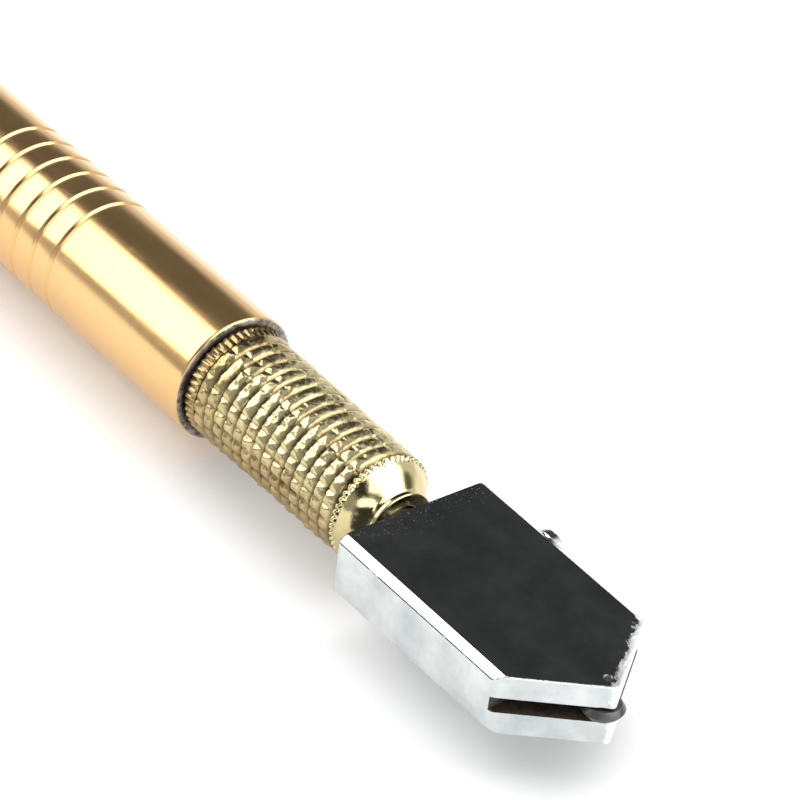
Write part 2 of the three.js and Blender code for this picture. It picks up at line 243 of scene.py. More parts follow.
def outward(points, faces):
    """The faces of a closed mesh, turned over if they face in."""
    volume = 0
    for face in faces:
        a = Vector(points[face[0]])
        for i in range(1, len(face) - 1):
            volume += a.dot(Vector(points[face[i]]).cross(Vector(points[face[i + 1]])))
    return faces if volume > 0 else [face[::-1] for face in faces]


def merged(points, faces):
    """The mesh with points at one place joined, and the faces that this empties left out."""
    index = {}
    kept = []
    new_index = []
    for p in points:
        key = tuple(round(c, 5) for c in p)
        if key not in index:
            index[key] = len(kept)
            kept.append(p)
        new_index.append(index[key])
    result = []
    for face in faces:
        face = [new_index[v] for v in face]
        face = [v for k, v in enumerate(face) if v != face[k - 1]]
        if len(set(face)) > 2:
            result.append(face)
    return kept, outward(kept, result)


def turned_to(axis, points, centre):
    """Points made about the x axis, turned so that x becomes the given axis, and moved."""
    if axis == "y":
        moved = [(-y, x, z) for x, y, z in points]
    else:
        moved = [(-z, y, x) for x, y, z in points]
    return [(x + centre[0], y + centre[1], z + centre[2]) for x, y, z in moved]


def cut_from(piece, *cutters):
    """Cuts closed (points, faces) bodies out of a piece, for good."""
    for points, faces in cutters:
        mesh = bpy.data.meshes.new("cutter")
        mesh.from_pydata([at(*p) for p in points], [], faces)
        tool = bpy.data.objects.new("cutter", mesh)
        bpy.context.scene.collection.objects.link(tool)
        modifier = piece.modifiers.new("cut", "BOOLEAN")
        modifier.operation = "DIFFERENCE"
        modifier.solver = "EXACT"
        modifier.object = tool
        bpy.context.view_layer.update()
        graph = bpy.context.evaluated_depsgraph_get()
        result = bpy.data.meshes.new_from_object(piece.evaluated_get(graph))
        piece.modifiers.clear()
        old = piece.data
        piece.data = result
        bpy.data.meshes.remove(old)
        bpy.data.objects.remove(tool)
        bpy.data.meshes.remove(mesh)
    piece.data.shade_smooth()
    piece.data.set_sharp_from_angle(angle=math.radians(30))


def box_body(low, high):
    """Points and faces of a box, for cutting."""
    across_x, across_y, across_z = zip(low, high)
    points = [(x, y, z) for x in across_x for y in across_y for z in across_z]
    faces = [(0, 1, 3, 2), (4, 6, 7, 5), (0, 4, 5, 1), (2, 3, 7, 6), (0, 2, 6, 4), (1, 5, 7, 3)]
    return points, outward(points, faces)


# ---------------------------------------------------------------- materials


class Surface:
    """A metal or plain material whose nodes are added one line at a time."""

    def __init__(self, name, metallic, roughness, coat=0.0):
        self.material = bpy.data.materials.new(name)
        self.material.use_nodes = True
        self.tree = self.material.node_tree
        self.shader = self.tree.nodes["Principled BSDF"]
        self.shader.inputs["Metallic"].default_value = metallic
        self.shader.inputs["Roughness"].default_value = roughness
        self.shader.inputs["Coat Weight"].default_value = coat
        self.place = self.add("ShaderNodeTexCoord").outputs["Object"]
        self.bumps = []

    def add(self, kind, **settings):
        node = self.tree.nodes.new(kind)
        for key, value in settings.items():
            setattr(node, key, value)
        return node

    def link(self, source, socket):
        self.tree.links.new(source, socket)

    def stretched(self, x, y, z):
        """Object coordinates in millimetres, times a factor on each axis."""
        node = self.add("ShaderNodeMapping")
        node.inputs["Scale"].default_value = (x / MM, y / MM, z / MM)
        self.link(self.place, node.inputs["Vector"])
        return node.outputs["Vector"]

    def noise(self, vector, detail=3.0, roughness=0.5, scale=1.0):
        node = self.add("ShaderNodeTexNoise")
        node.inputs["Scale"].default_value = scale
        node.inputs["Detail"].default_value = detail
        node.inputs["Roughness"].default_value = roughness
        self.link(vector, node.inputs["Vector"])
        return node.outputs["Fac"]

    def remap(self, value, from_low, from_high, to_low, to_high):
        node = self.add("ShaderNodeMapRange")
        node.inputs["From Min"].default_value = from_low
        node.inputs["From Max"].default_value = from_high
        node.inputs["To Min"].default_value = to_low
        node.inputs["To Max"].default_value = to_high
        self.link(value, node.inputs["Value"])
        return node.outputs["Result"]

    def math(self, operation, a, b=0.0):
        node = self.add("ShaderNodeMath", operation=operation)
        for value, socket in ((a, node.inputs[0]), (b, node.inputs[1])):
            if isinstance(value, (int, float)):
                socket.default_value = value
            else:
                self.link(value, socket)
        return node.outputs["Value"]

    def mix(self, factor, first, second):
        """A colour between two colours or colour outputs."""
        node = self.add("ShaderNodeMix", data_type="RGBA")
        self.link(factor, node.inputs["Factor"])
        for value, socket in ((first, node.inputs["A"]), (second, node.inputs["B"])):
            if isinstance(value, tuple):
                socket.default_value = (*value, 1)
            else:
                self.link(value, socket)
        return node.outputs["Result"]

    def radius(self):
        """The distance from the tool's axis, in millimetres."""
        centre = self.add("ShaderNodeVectorMath", operation="SUBTRACT")
        centre.inputs[1].default_value = TOOL_ORIGIN
        self.link(self.place, centre.inputs[0])
        flat = self.add("ShaderNodeVectorMath", operation="MULTIPLY")
        flat.inputs[1].default_value = (0, 1 / MM, 1 / MM)
        self.link(centre.outputs["Vector"], flat.inputs[0])
        length = self.add("ShaderNodeVectorMath", operation="LENGTH")
        self.link(flat.outputs["Vector"], length.inputs[0])
        return length.outputs["Value"]

    def axis_place(self, axis):
        """One coordinate in tool millimetres."""
        centre = self.add("ShaderNodeVectorMath", operation="SUBTRACT")
        centre.inputs[1].default_value = TOOL_ORIGIN
        self.link(self.place, centre.inputs[0])
        split = self.add("ShaderNodeSeparateXYZ")
        self.link(centre.outputs["Vector"], split.inputs["Vector"])
        return self.math("DIVIDE", split.outputs[axis], MM)

    def colour(self, source):
        if isinstance(source, tuple):
            self.shader.inputs["Base Color"].default_value = (*source, 1)
        else:
            self.link(source, self.shader.inputs["Base Color"])

    def roughness(self, source):
        self.link(source, self.shader.inputs["Roughness"])

    def bump(self, height, depth_mm, strength=1.0):
        """A bump of the given depth, on top of the bumps before it."""
        node = self.add("ShaderNodeBump")
        node.inputs["Strength"].default_value = strength
        node.inputs["Distance"].default_value = depth_mm * MM
        self.link(height, node.inputs["Height"])
        if self.bumps:
            self.link(self.bumps[-1], node.inputs["Normal"])
        self.bumps.append(node.outputs["Normal"])
        self.link(node.outputs["Normal"], self.shader.inputs["Normal"])


def gold_aluminium():
    """Bright gold anodising over a turned tube."""
    surface = Surface("gold_anodised_aluminium", 0.93, 0.2)
    clouds = surface.noise(surface.stretched(0.06, 0.25, 0.25), detail=4)
    surface.colour(surface.mix(clouds, (0.71, 0.44, 0.18), (0.78, 0.52, 0.25)))
    lines = surface.noise(surface.stretched(14, 0.05, 0.05), detail=5, roughness=0.7)
    smears = surface.noise(surface.stretched(0.15, 1.2, 1.2), detail=3)
    turned = surface.remap(lines, 0.3, 0.7, 0.13, 0.22)
    surface.roughness(surface.math("ADD", turned, surface.remap(smears, 0.35, 0.7, 0, 0.06)))
    surface.bump(lines, 0.0012)
    scratches = surface.noise(surface.stretched(0.35, 9, 9), detail=2)
    surface.bump(surface.remap(scratches, 0.66, 0.72, 0, 1), 0.0015)
    return surface.material


def bare_aluminium():
    """The tube's cut ends, bore and threads, without the anodising."""
    surface = Surface("bare_cut_aluminium", 1.0, 0.4)
    grime = surface.noise(surface.stretched(1.6, 1.6, 1.6), detail=5, roughness=0.65)
    clean = surface.remap(grime, 0.35, 0.65, 0, 1)
    surface.colour(surface.mix(clean, (0.08, 0.06, 0.045), (0.50, 0.48, 0.45)))
    tool_marks = surface.noise(surface.stretched(9, 9, 9), detail=4, roughness=0.7)
    surface.roughness(surface.remap(tool_marks, 0.3, 0.7, 0.3, 0.6))
    surface.bump(tool_marks, 0.03)
    return surface.material


def knurled_brass():
    """Bright brass on the crests and brown tarnish next to the tube. Low in the knurl, a darker colour
    that is partly tarnish and partly painted shade. Towards the underside, a brown film that is painted
    shade.
    """
    surface = Surface("bright_knurled_brass", 1.0, 0.2)
    along = surface.axis_place("X")
    crest = surface.remap(along, 0, GRIP_END, *GRIP_CREST)
    below = surface.math("SUBTRACT", crest, surface.radius())
    valley = surface.remap(below, GRIP_DEPTH * 0.3, GRIP_DEPTH * 0.75, 0, 1)
    in_grip = surface.math("LESS_THAN", along, BEAD_END - 0.3)
    clouds = surface.noise(surface.stretched(0.8, 0.8, 0.8), detail=5, roughness=0.65)
    bright = surface.mix(clouds, (0.54, 0.45, 0.22), (0.68, 0.59, 0.34))
    near_tube = surface.remap(along, 0.3, 6.5, 0.9, 0)
    # painted shade: the brown film grows towards the underside (lower z); next to the tube it is real
    # tarnish
    underneath = surface.remap(surface.axis_place("Z"), 2.8, -1.8, 0, 0.9)
    patina_and_underside_shade = surface.math("MAXIMUM", near_tube, underneath)
    amount = surface.math("ADD", clouds, surface.math("MULTIPLY", patina_and_underside_shade, 0.45))
    film = surface.remap(amount, 0.58, 0.85, 0, 0.75)
    # partly real tarnish, partly painted shade: the knurl's valleys are darkened to a near-black brown
    valley_tarnish_and_shade = surface.math("MULTIPLY", valley, surface.remap(clouds, 0.3, 0.6, 0.6, 1.0))
    tarnish_and_shade_colour = surface.mix(surface.math("MULTIPLY", film, in_grip), bright, (0.30, 0.20, 0.075))
    surface.colour(surface.mix(surface.math("MULTIPLY", valley_tarnish_and_shade, in_grip), tarnish_and_shade_colour, (0.09, 0.055, 0.02)))
    grain = surface.noise(surface.stretched(7, 7, 7), detail=4, roughness=0.6)
    polish = surface.remap(grain, 0.3, 0.7, 0.07, 0.15)
    surface.roughness(surface.math("ADD", polish, surface.math("MULTIPLY", in_grip, 0.13)))
    surface.bump(grain, 0.008)
    lines = surface.noise(surface.stretched(11, 0.1, 0.1), detail=4)
    surface.bump(lines, 0.002)
    return surface.material


def head_chrome():
    """Polished plating on a cast block: cloudy, specked at the back and scuffed along one front edge."""
    surface = Surface("worn_polished_chrome", 1.0, 0.1)
    along = surface.axis_place("X")
    clouds = surface.noise(surface.stretched(0.28, 0.28, 0.28), detail=5, roughness=0.6)
    plating = surface.mix(surface.remap(clouds, 0.3, 0.7, 0, 1), (0.44, 0.48, 0.49), (0.69, 0.71, 0.70))
    slope = Vector((HEAD_HALF_WIDTH, HEAD_TIP - HEAD_SHOULDER)).normalized()
    past_x = surface.math("MULTIPLY", surface.math("SUBTRACT", along, HEAD_SHOULDER), slope.x)
    across = surface.math("SUBTRACT", surface.axis_place("Y"), HEAD_HALF_WIDTH)
    past_y = surface.math("MULTIPLY", across, slope.y)
    from_edge = surface.math("SUBTRACT", 0, surface.math("ADD", past_x, past_y))
    rub = surface.noise(surface.stretched(0.9, 0.9, 0.9), detail=7, roughness=0.75)
    reach = surface.math("SUBTRACT", surface.math("MULTIPLY", rub, 2.6), from_edge)
    scuff = surface.remap(reach, 0.75, 1.05, 0, 1)
    surface.colour(surface.mix(scuff, plating, (0.96, 0.96, 0.95)))
    haze = surface.remap(clouds, 0.35, 0.7, 0.03, 0.09)
    grain = surface.noise(surface.stretched(4, 4, 4), detail=3)
    polish = surface.math("ADD", haze, surface.remap(grain, 0.45, 0.75, 0, 0.03))
    surface.roughness(surface.math("ADD", polish, surface.math("MULTIPLY", scuff, 0.4)))
    ripples = surface.noise(surface.stretched(0.7, 0.7, 0.7), detail=3, roughness=0.4)
    surface.bump(ripples, 0.035)
    specks = surface.remap(surface.noise(surface.stretched(5, 5, 5), detail=2), 0.66, 0.72, 0, 1)
    surface.bump(surface.math("MULTIPLY", specks, surface.remap(along, 28, 23.5, 0, 1)), 0.009)
    surface.bump(surface.math("MULTIPLY", rub, scuff), 0.03)
    scratches = surface.noise(surface.stretched(0.25, 7, 7), detail=2)
    surface.bump(surface.remap(scratches, 0.68, 0.74, 0, 1), 0.0012)
    return surface.material


def knocked_chrome():
    """Plating beaten dull and uneven round the point."""
    surface = Surface("knocked_chrome_edge", 1.0, 0.3)
    dents = surface.noise(surface.stretched(1.3, 1.3, 1.3), detail=5, roughness=0.65)
    surface.colour(surface.mix(dents, (0.55, 0.57, 0.58), (0.92, 0.93, 0.93)))
    surface.roughness(surface.remap(dents, 0.3, 0.7, 0.18, 0.42))
    surface.bump(dents, 0.12)
    return surface.material


def edge_grime():
    """Old oil: a broken line where the long chamfers meet the walls, and a film on the back face."""
    surface = Surface("grimy_chrome_edge", 1.0, 0.3)
    breaks = surface.noise(surface.stretched(0.35, 0.35, 0.35), detail=4)
    clean = surface.remap(breaks, 0.60, 0.66, 0, 1)
    surface.colour(surface.mix(clean, (0.05, 0.05, 0.05), (0.75, 0.76, 0.76)))
    grain = surface.noise(surface.stretched(5, 5, 5), detail=3)
    surface.roughness(surface.remap(grain, 0.3, 0.7, 0.2, 0.5))
    surface.bump(grain, 0.01)
    return surface.material


def slot_residue():
    """The wheel slot's walls: unplated, stained by oil and glass dust."""
    surface = Surface("oil_stained_slot", 0.3, 0.5)
    stain = surface.noise(surface.stretched(0.9, 0.9, 2.5), detail=4, roughness=0.6)
    thin = surface.remap(stain, 0.35, 0.65, 0, 1)
    surface.colour(surface.mix(thin, (0.03, 0.026, 0.018), (0.13, 0.10, 0.07)))
    grain = surface.noise(surface.stretched(8, 8, 8), detail=4)
    surface.roughness(surface.remap(grain, 0.3, 0.7, 0.35, 0.65))
    surface.bump(grain, 0.01)
    return surface.material


def bright_chrome(name, speckle):
    """Bright plating on a small turned piece."""
    surface = Surface(name, 1.0, 0.08)
    clouds = surface.noise(surface.stretched(0.9, 0.9, 0.9), detail=4)
    surface.colour(surface.mix(clouds, (0.74, 0.75, 0.75), (0.90, 0.90, 0.89)))
    surface.roughness(surface.remap(clouds, 0.3, 0.7, 0.05, 0.15))
    grain = surface.noise(surface.stretched(6, 6, 6), detail=4)
    surface.bump(grain, speckle)
    return surface.material


def turned_steel():
    """Turned steel under an uneven film of oil."""
    surface = Surface("turned_oily_steel", 1.0, 0.3)
    film = surface.noise(surface.stretched(0.9, 0.9, 0.9), detail=4)
    surface.colour(surface.mix(film, (0.28, 0.26, 0.24), (0.56, 0.55, 0.54)))
    lines = surface.noise(surface.stretched(16, 0.3, 0.3), detail=4)
    surface.roughness(surface.remap(lines, 0.3, 0.7, 0.22, 0.38))
    surface.bump(lines, 0.004)
    return surface.material


def spring_wire():
    """Drawn steel wire."""
    surface = Surface("drawn_spring_wire", 1.0, 0.3)
    film = surface.noise(surface.stretched(1.5, 1.5, 1.5), detail=4)
    surface.colour(surface.mix(film, (0.36, 0.35, 0.34), (0.62, 0.61, 0.60)))
    grain = surface.noise(surface.stretched(12, 12, 12), detail=3)
    surface.roughness(surface.remap(grain, 0.3, 0.7, 0.22, 0.42))
    surface.bump(grain, 0.004)
    return surface.material


def ground_carbide():
    """Sintered carbide, ground round its rim."""
    surface = Surface("ground_dark_carbide", 0.9, 0.35)
    film = surface.noise(surface.stretched(1.4, 1.4, 1.4), detail=5, roughness=0.6)
    surface.colour(surface.mix(film, (0.05, 0.05, 0.05), (0.17, 0.17, 0.17)))
    grain = surface.noise(surface.stretched(18, 18, 18), detail=4, roughness=0.7)
    surface.roughness(surface.remap(grain, 0.3, 0.7, 0.25, 0.5))
    surface.bump(grain, 0.008)
    return surface.material


def black_rubber():
    """Dull moulded rubber."""
    surface = Surface("black_rubber", 0.0, 0.6)
    film = surface.noise(surface.stretched(0.7, 0.7, 0.7), detail=4)
    surface.colour(surface.mix(film, (0.010, 0.007, 0.005), (0.035, 0.026, 0.02)))
    grain = surface.noise(surface.stretched(9, 9, 9), detail=4, roughness=0.6)
    surface.roughness(surface.remap(grain, 0.3, 0.7, 0.4, 0.75))
    surface.bump(grain, 0.02)
    return surface.material


def oily_cotton():
    """Twisted cotton, darkened by oil."""
    surface = Surface("oily_cotton", 0.0, 0.9)
    twist = surface.add("ShaderNodeTexWave", bands_direction="DIAGONAL")
    twist.inputs["Scale"].default_value = 1.4
    twist.inputs["Distortion"].default_value = 1.5
    surface.link(surface.stretched(1, 1, 1), twist.inputs["Vector"])
    fibres = surface.noise(surface.stretched(3, 9, 9), detail=5, roughness=0.7)
    surface.colour(surface.mix(fibres, (0.42, 0.35, 0.22), (0.78, 0.72, 0.56)))
    surface.roughness(surface.remap(fibres, 0.3, 0.7, 0.7, 0.98))
    surface.bump(twist.outputs["Fac"], 0.12)
    surface.bump(fibres, 0.04)
    return surface.material


GOLD = gold_aluminium()
BARE = bare_aluminium()
BRASS = knurled_brass()
HEAD_CHROME = head_chrome()
SLOT_STAIN = slot_residue()
KNOCKED_CHROME = knocked_chrome()
EDGE_GRIME = edge_grime()
CAP_CHROME = bright_chrome("cap_chrome_plating", 0.003)
SCREW_CHROME = bright_chrome("screw_chrome_plating", 0.012)
STEEL = turned_steel()
SPRING = spring_wire()
CARBIDE = ground_carbide()
RUBBER = black_rubber()
COTTON = oily_cotton()

# ---------------------------------------------------------------- handle tube


def thread(root, crest, rear, front):
    """A shape for revolve(): a right-hand thread on the stretch between two places."""

    def shape(x, radius, angle):
        if not rear < x < front or not min(root, crest) - 0.01 <= radius <= max(root, crest) + 0.01:
            return radius
        turn = (x / THREAD_PITCH - angle / (2 * math.pi)) % 1
        wave = 1 - abs(2 * turn - 1)
        fade = min(1, (x - rear) / 0.4, (front - x) / 0.4)
        return root + (crest - root) * (1 - (1 - min(1, wave * 1.3)) * fade)

    return shape


def make_handle():
    """The tube: three groups of turned grooves outside, and a thread inside its rear end."""
    edge = 0.2
    outline = [
        (-0.2, TUBE_BORE, 0.1),
        (0, TUBE_RADIUS - 0.5, 0.06),
        (0, TUBE_RADIUS - edge, 0.12),
        (-edge, TUBE_RADIUS, 0.15),
    ]
    for start in GROOVE_STARTS:
        for i in range(GROOVES_PER_GROUP):
            x = -(start + i * GROOVE_PITCH)
            outline.append((x + GROOVE_HALF_TOP, TUBE_RADIUS, 0.07))
            outline.append((x + GROOVE_HALF_FLOOR, TUBE_RADIUS - GROOVE_DEPTH, 0.04))
            outline.append((x - GROOVE_HALF_FLOOR, TUBE_RADIUS - GROOVE_DEPTH, 0.04))
            outline.append((x - GROOVE_HALF_TOP, TUBE_RADIUS, 0.07))
    outline.append((TUBE_REAR + edge, TUBE_RADIUS, 0.15))
    outline.append((TUBE_REAR, TUBE_RADIUS - edge, 0.12))
    mouth = 0.45
    outline.append((TUBE_REAR, TUBE_BORE + mouth, 0.05))
    outline.append((TUBE_REAR + mouth, TUBE_BORE, 0))
    thread_end = TUBE_REAR + TUBE_THREAD_LENGTH
    steps = 80
    for i in range(1, steps):
        x = TUBE_REAR + mouth + (TUBE_THREAD_LENGTH - mouth) * i / steps
        outline.append((x, TUBE_BORE, 0))
    outline.append((thread_end, TUBE_BORE, 0))
    outline.append(outline[0])
    cut_thread = thread(TUBE_BORE + THREAD_DEPTH, TUBE_BORE, TUBE_REAR + 0.4, thread_end)
    points, faces = revolve(rounded(outline, 0.1), 192, cut_thread)

    def bare_inside(face):
        offset = (face.center - TOOL_ORIGIN) / MM
        radius = math.hypot(offset.y, offset.z)
        at_an_end = offset.x > -edge or offset.x < TUBE_REAR + edge
        return 1 if radius < TUBE_BORE + 0.4 or (at_an_end and radius < TUBE_RADIUS - 0.12) else 0

    new_piece(
        "handle_tube_shell",
        points,
        faces,
        "handle",
        [GOLD, BARE],
        "handle_tube",
        face_material=bare_inside,
    )


# ---------------------------------------------------------------- cap and its washer


def make_cap_seal():
    """The washer between the cap and the tube."""
    bore = 4.62
    outline = [
        (SEAL_FRONT, bore),
        (SEAL_FRONT, SEAL_RADIUS),
        (SEAL_REAR, SEAL_RADIUS),
        (SEAL_REAR, bore),
        (SEAL_FRONT, bore),
    ]
    points, faces = revolve(rounded(outline, 0.35, 6), 128)
    new_piece("cap_seal_washer", points, faces, "cap_washer", [RUBBER], "cap_seal")


def make_cap():
    """The cap: a hollow threaded stud, a neck that flares to the rim, and a dome."""
    neck_x = SEAL_REAR - 0.05
    flare_x = neck_x - 0.9
    rim_x = neck_x - CAP_NECK_LENGTH
    dome = rim_x - CAP_REAR
    hollow = 2.6
    outline = [(neck_x + 0.2, 0, 0), (neck_x + 0.2, hollow, 0.3), (CAP_STUD_FRONT, hollow, 0.15)]
    outline.append((CAP_STUD_FRONT, STUD_RADIUS - 0.5, 0.1))
    outline.append((CAP_STUD_FRONT - 0.5, STUD_RADIUS, 0))
    steps = 64
    length = CAP_STUD_FRONT - 0.5 - neck_x
    for i in range(1, steps + 1):
        outline.append((CAP_STUD_FRONT - 0.5 - length * i / steps, STUD_RADIUS, 0))
    outline.append((neck_x, CAP_NECK_RADIUS, 0.15))
    outline.append((flare_x, CAP_NECK_RADIUS, 0))
    flare = 20
    for i in range(1, flare + 1):
        t = i / flare
        rise = (1 - math.cos(math.pi * t)) / 2
        x = flare_x + (rim_x - flare_x) * t
        outline.append((x, CAP_NECK_RADIUS + (CAP_RADIUS - CAP_NECK_RADIUS) * rise, 0))
    arc = 32
    for i in range(1, arc):
        angle = math.pi / 2 * i / arc
        outline.append((rim_x - dome * math.sin(angle), CAP_RADIUS * math.cos(angle), 0))
    outline.append((CAP_REAR, 0, 0))
    cut_thread = thread(STUD_RADIUS - THREAD_DEPTH, STUD_RADIUS, neck_x + 0.3, CAP_STUD_FRONT - 0.45)
    points, faces = revolve(rounded(outline, 0.1), 160, cut_thread)
    new_piece("end_cap_knob", points, faces, "cap", [CAP_CHROME], "end_cap")


# ---------------------------------------------------------------- nose


def wave(value):
    """A triangle wave: 0 at whole numbers and 1 half-way between them."""
    return 1 - abs(2 * (value % 1) - 1)


def grip_height(x, angle, row, u, tooth_size):
    """How high the pressed knurl stands, from 0 in its grooves to 1 on its crests.

    Each row rises at once, curves down a little and falls away at the front, cut across into teeth."""
    turn = angle / (2 * math.pi) * GRIP_TEETH + 0.12 * noise.noise((x * 0.35, 0, 3.1))
    if row == 1:
        turn += 0.5
    band = min(1.0, u / 0.1)
    if u > 0.15:
        band = 1 - 0.35 * ((min(u, 0.75) - 0.15) / 0.6) ** 2 - 0.6 * max(0.0, u - 0.75) / 0.25
    # the cross cuts are deep underneath, and pressed shallow on top
    underneath = 0.5 - 0.5 * math.sin(angle + 0.7)
    cut = 0.05 + 0.65 * underneath + 0.25 * noise.noise((x * 0.3, angle * 2, 7.7))
    off_centre = 1 - wave(turn)
    across = 1 - min(0.95, max(0.08, cut)) * max(0.0, (off_centre - 0.25) / 0.75)
    size = tooth_size[row, int(turn) % GRIP_TEETH]
    melted = 0.10 * noise.noise((x * 1.6, angle * 8, 0.7)) + 0.05 * noise.noise((x * 5, angle * 24, 1.9))
    if row == 0:
        return 0.5 + 0.5 * wave(turn * 2) * band + melted
    return min(band, across) * size + melted * (0.4 + band)


def make_nose():
    """The brass nose: rows of uneven teeth, a beaded edge and a polished cone."""
    samples = 12  # along each row
    around = 16  # round each tooth
    grip_start = 0.08
    row_length = (GRIP_END - grip_start) / GRIP_ROWS
    dice = random.Random(11)
    tooth_size = {}
    for row in range(GRIP_ROWS):
        for tooth in range(GRIP_TEETH):
            tooth_size[row, tooth] = dice.uniform(0.82, 1.04)
    root = GRIP_CREST[1] - GRIP_DEPTH
    outline = [
        (NOSE_REAR, CHAMBER_RADIUS, 0.1),
        (NOSE_REAR, 4.0, 0.1),
        (NOSE_REAR + 0.5, SPIGOT_RADIUS, 0.1),
        (ORING_GROOVE[0], SPIGOT_RADIUS, 0.1),
        (ORING_GROOVE[0], ORING_GROOVE_RADIUS, 0.1),
        (ORING_GROOVE[1], ORING_GROOVE_RADIUS, 0.1),
        (ORING_GROOVE[1], SPIGOT_RADIUS, 0.1),
        (0, SPIGOT_RADIUS, 0),
    ]
    for i in range(GRIP_ROWS * samples + 1):
        outline.append((grip_start + row_length * i / samples, root, 0))
    bead_steps = 8
    for i in range(1, bead_steps + 1):
        outline.append((GRIP_END + (BEAD_END - GRIP_END) * i / bead_steps, BEAD_RADIUS, 0))
    cone_steps = 14
    cone_start = BEAD_RADIUS - 0.2
    lip_rear = NOSE_FRONT - 0.25
    for i in range(cone_steps + 1):
        t = i / cone_steps
        bulge = CONE_BULGE * math.sin(math.pi * t)
        x = BEAD_END + 0.05 + (lip_rear - BEAD_END - 0.05) * t
        outline.append((x, cone_start + (3.0 - cone_start) * t + bulge, 0))
    outline.append((NOSE_FRONT, 2.85, 0.08))
    outline.append((NOSE_FRONT, GUIDE_BORE, 0.05))
    outline.append((VALVE_SEAT, GUIDE_BORE, 0.1))
    outline.append((VALVE_SEAT, CHAMBER_RADIUS, 0.1))
    outline.append(outline[0])

    def knurl(x, radius, angle):
        if abs(radius - BEAD_RADIUS) < 0.001 and x > GRIP_END:
            swell = math.sin(math.pi * (x - GRIP_END) / (BEAD_END - GRIP_END))
            bead = abs(math.cos(GRIP_TEETH * angle + noise.noise((angle * 3, 0, 5.5))))
            ragged = 0.07 * noise.noise((x * 2, angle * 14, 2.2))
            return radius - 0.16 + swell * (0.12 + 0.26 * bead) + ragged
        if abs(radius - root) > 0.001 or x < grip_start:
            return radius
        along = (x - grip_start) / row_length
        row = min(GRIP_ROWS - 1, int(along + 1e-6))
        crest = GRIP_CREST[0] + (GRIP_CREST[1] - GRIP_CREST[0]) * x / GRIP_END
        return crest - GRIP_DEPTH * (1 - grip_height(x, angle, row, along - row, tooth_size))

    points, faces = revolve(rounded(outline, 0.1), GRIP_TEETH * around, knurl)
    new_piece("nose_body_knurled", points, faces, "handle", [BRASS], "nose_body", sharp=40)


def make_guide_bush():
    """The stem's guide bush. Its lip is what shows in front of the cone."""
    bore = 1.65
    sleeve = 2.4
    lip_rear = NOSE_FRONT + 0.05
    outline = [
        (BUSH_REAR, bore, 0.08),
        (BUSH_REAR, sleeve, 0.1),
        (lip_rear, sleeve, 0.03),
        (lip_rear, LIP_RADIUS, 0.16),
        (BUSH_FRONT, LIP_RADIUS, 0.2),
        (BUSH_FRONT, bore + 0.35, 0.05),
        (BUSH_FRONT - 0.35, bore, 0.05),
        (BUSH_REAR, bore, 0.08),
    ]
    points, faces = revolve(rounded(outline, 0.1), 128)
    new_piece("guide_bush_lip", points, faces, "handle", [BRASS], "guide_bush")


# ---------------------------------------------------------------- stem


def make_stem():
    """The stem: a pilot and collar in the nose, a groove for the lock screw, and an oil bore."""
    outline = [
        (STEM_REAR, 0, 0),
        (STEM_REAR, PILOT_RADIUS, 0.2),
        (COLLAR[0], PILOT_RADIUS, 0.08),
        (COLLAR[0], COLLAR_RADIUS, 0.12),
        (COLLAR[1], COLLAR_RADIUS, 0.12),
        (COLLAR[1], STEM_RADIUS, 0.05),
        (SCREW_X - SCREW_GROOVE_HALF, STEM_RADIUS, 0.08),
        (SCREW_X - SCREW_GROOVE_HALF, SCREW_GROOVE, 0.1),
        (SCREW_X + SCREW_GROOVE_HALF, SCREW_GROOVE, 0.1),
        (SCREW_X + SCREW_GROOVE_HALF, STEM_RADIUS, 0.08),
        (STEM_FRONT - 0.25, STEM_RADIUS, 0.08),
        (STEM_FRONT, STEM_RADIUS - 0.25, 0.08),
        (STEM_FRONT, STEM_BORE, 0.05),
        (STEM_BORE_REAR, STEM_BORE, 0),
        (STEM_BORE_REAR - 0.2, 0, 0),
    ]
    points, faces = revolve(rounded(outline, 0.1), 96)
    piece = new_piece("head_stem_shank", points, faces, "stem", [STEEL], "head_stem")
    drill = [(-3, 0), (-3, CROSS_HOLE_RADIUS), (3, CROSS_HOLE_RADIUS), (3, 0)]
    drill_points, drill_faces = revolve(drill, 24)
    cut_from(piece, (turned_to("y", drill_points, (CROSS_HOLE_X, 0, 0)), drill_faces))


# ---------------------------------------------------------------- head

CORNERS = (
    (HEAD_LOW.x, -HEAD_HALF_WIDTH),
    (HEAD_SHOULDER, -HEAD_HALF_WIDTH),
    (HEAD_TIP, 0.0),
    (HEAD_SHOULDER, HEAD_HALF_WIDTH),
    (HEAD_LOW.x, HEAD_HALF_WIDTH),
)


def head_loop(insets):
    """The head's outline with each of its five sides moved in: side, front, front, side, back."""
    corners = [Vector(corner) for corner in CORNERS]
    lines = []
    for i, corner in enumerate(corners):
        along = (corners[(i + 1) % 5] - corner).normalized()
        inward = Vector((-along.y, along.x))
        lines.append((corner + inward * insets[i], along))
    moved = []
    for i in range(5):
        here, along = lines[i - 1]
        there, onward = lines[i]
        gap = there - here
        share = (gap.x * onward.y - gap.y * onward.x) / (along.x * onward.y - along.y * onward.x)
        moved.append(here + along * share)
    loop = []
    samples = (40, 60, 60, 40, 24)  # along each side
    arc = 5  # steps round each corner
    for i, corner in enumerate(moved):
        before = (moved[i - 1] - corner).normalized() * HEAD_CORNER_REACH
        after = (moved[(i + 1) % 5] - corner).normalized() * HEAD_CORNER_REACH
        for step in range(arc + 1):
            t = step / arc
            loop.append(corner + before * (1 - t) ** 2 + after * t**2)
        start = corner + after
        end = moved[(i + 1) % 5] - after
        for step in range(1, samples[i]):
            loop.append(start.lerp(end, step / samples[i]))
    return loop


